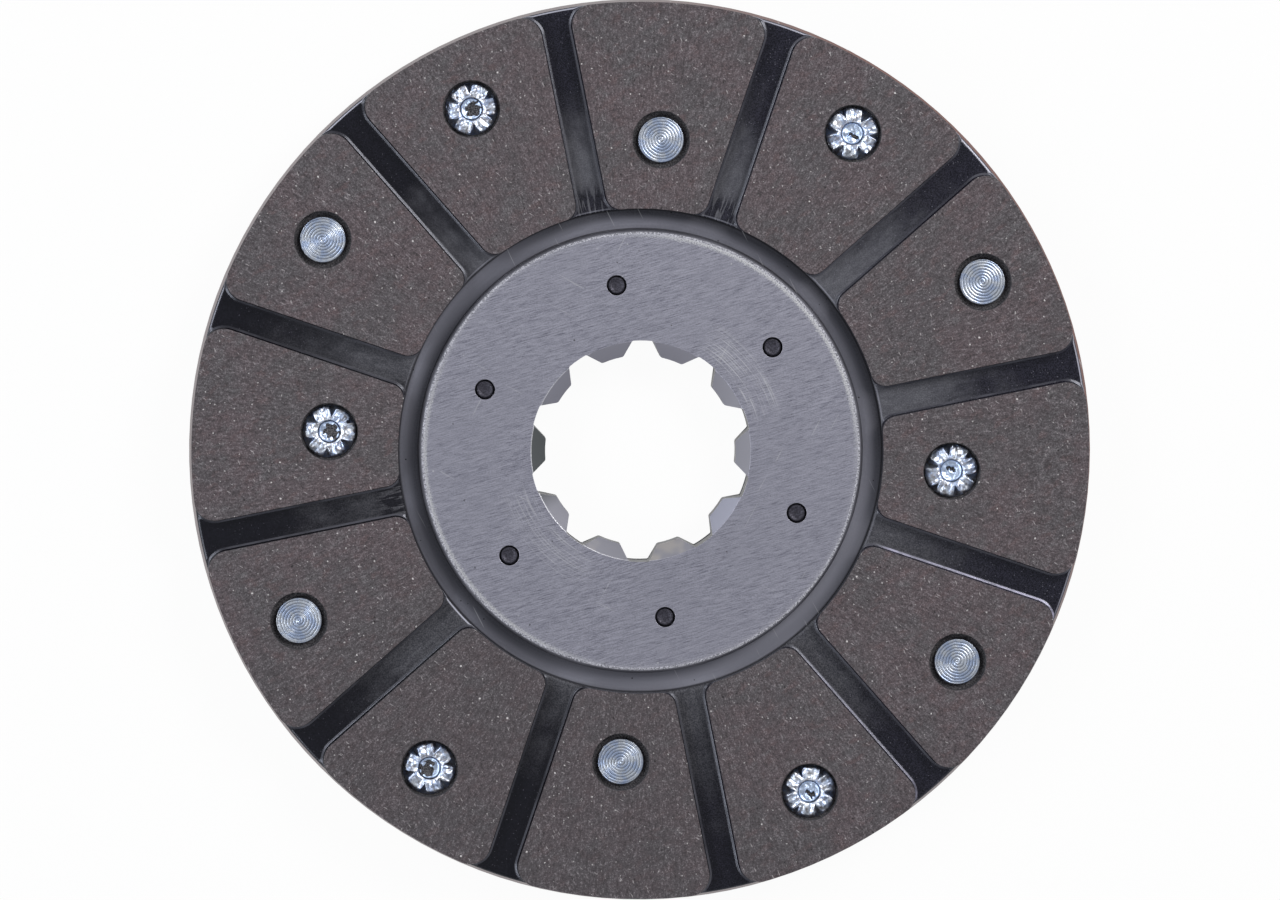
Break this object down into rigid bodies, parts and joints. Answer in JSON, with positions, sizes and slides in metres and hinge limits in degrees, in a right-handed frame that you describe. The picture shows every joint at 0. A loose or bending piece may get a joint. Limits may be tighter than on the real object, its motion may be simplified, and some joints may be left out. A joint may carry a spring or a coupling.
{
  "type": "brake disc",
  "caption": "Flat riveted friction disc for a dry disc brake: steel plate, splined hub and grooved moulded linings on both faces.",
  "frame": {"origin": "centre of the disc: on the axis of the splined bore, in the middle of the steel plate's thickness", "axes": "+Z along the bore axis out of the face that the picture shows; +X to the right and +Y up in the picture"},
  "size_m": [0.165, 0.165, 0.012],
  "materials": {
    "plate_steel": "satin",
    "hub_steel": "satin",
    "pin_steel": "matte",
    "friction_lining": "matte",
    "rivet_zinc": "satin"
  },
  "bodies": {
    "root": {"core_plate": "plate_steel", "front_hub_plate": "hub_steel", "rear_hub_plate": "hub_steel", "hub_pin_1": "pin_steel", "hub_pin_2": "pin_steel", "hub_pin_3": "pin_steel", "hub_pin_4": "pin_steel", "hub_pin_5": "pin_steel", "hub_pin_6": "pin_steel", "front_lining": "friction_lining", "rear_lining": "friction_lining", "rivet_01": "rivet_zinc", "rivet_02": "rivet_zinc", "rivet_03": "rivet_zinc", "rivet_04": "rivet_zinc", "rivet_05": "rivet_zinc", "rivet_06": "rivet_zinc", "rivet_07": "rivet_zinc", "rivet_08": "rivet_zinc", "rivet_09": "rivet_zinc", "rivet_10": "rivet_zinc", "rivet_11": "rivet_zinc", "rivet_12": "rivet_zinc"}
  },
  "joints": []
}
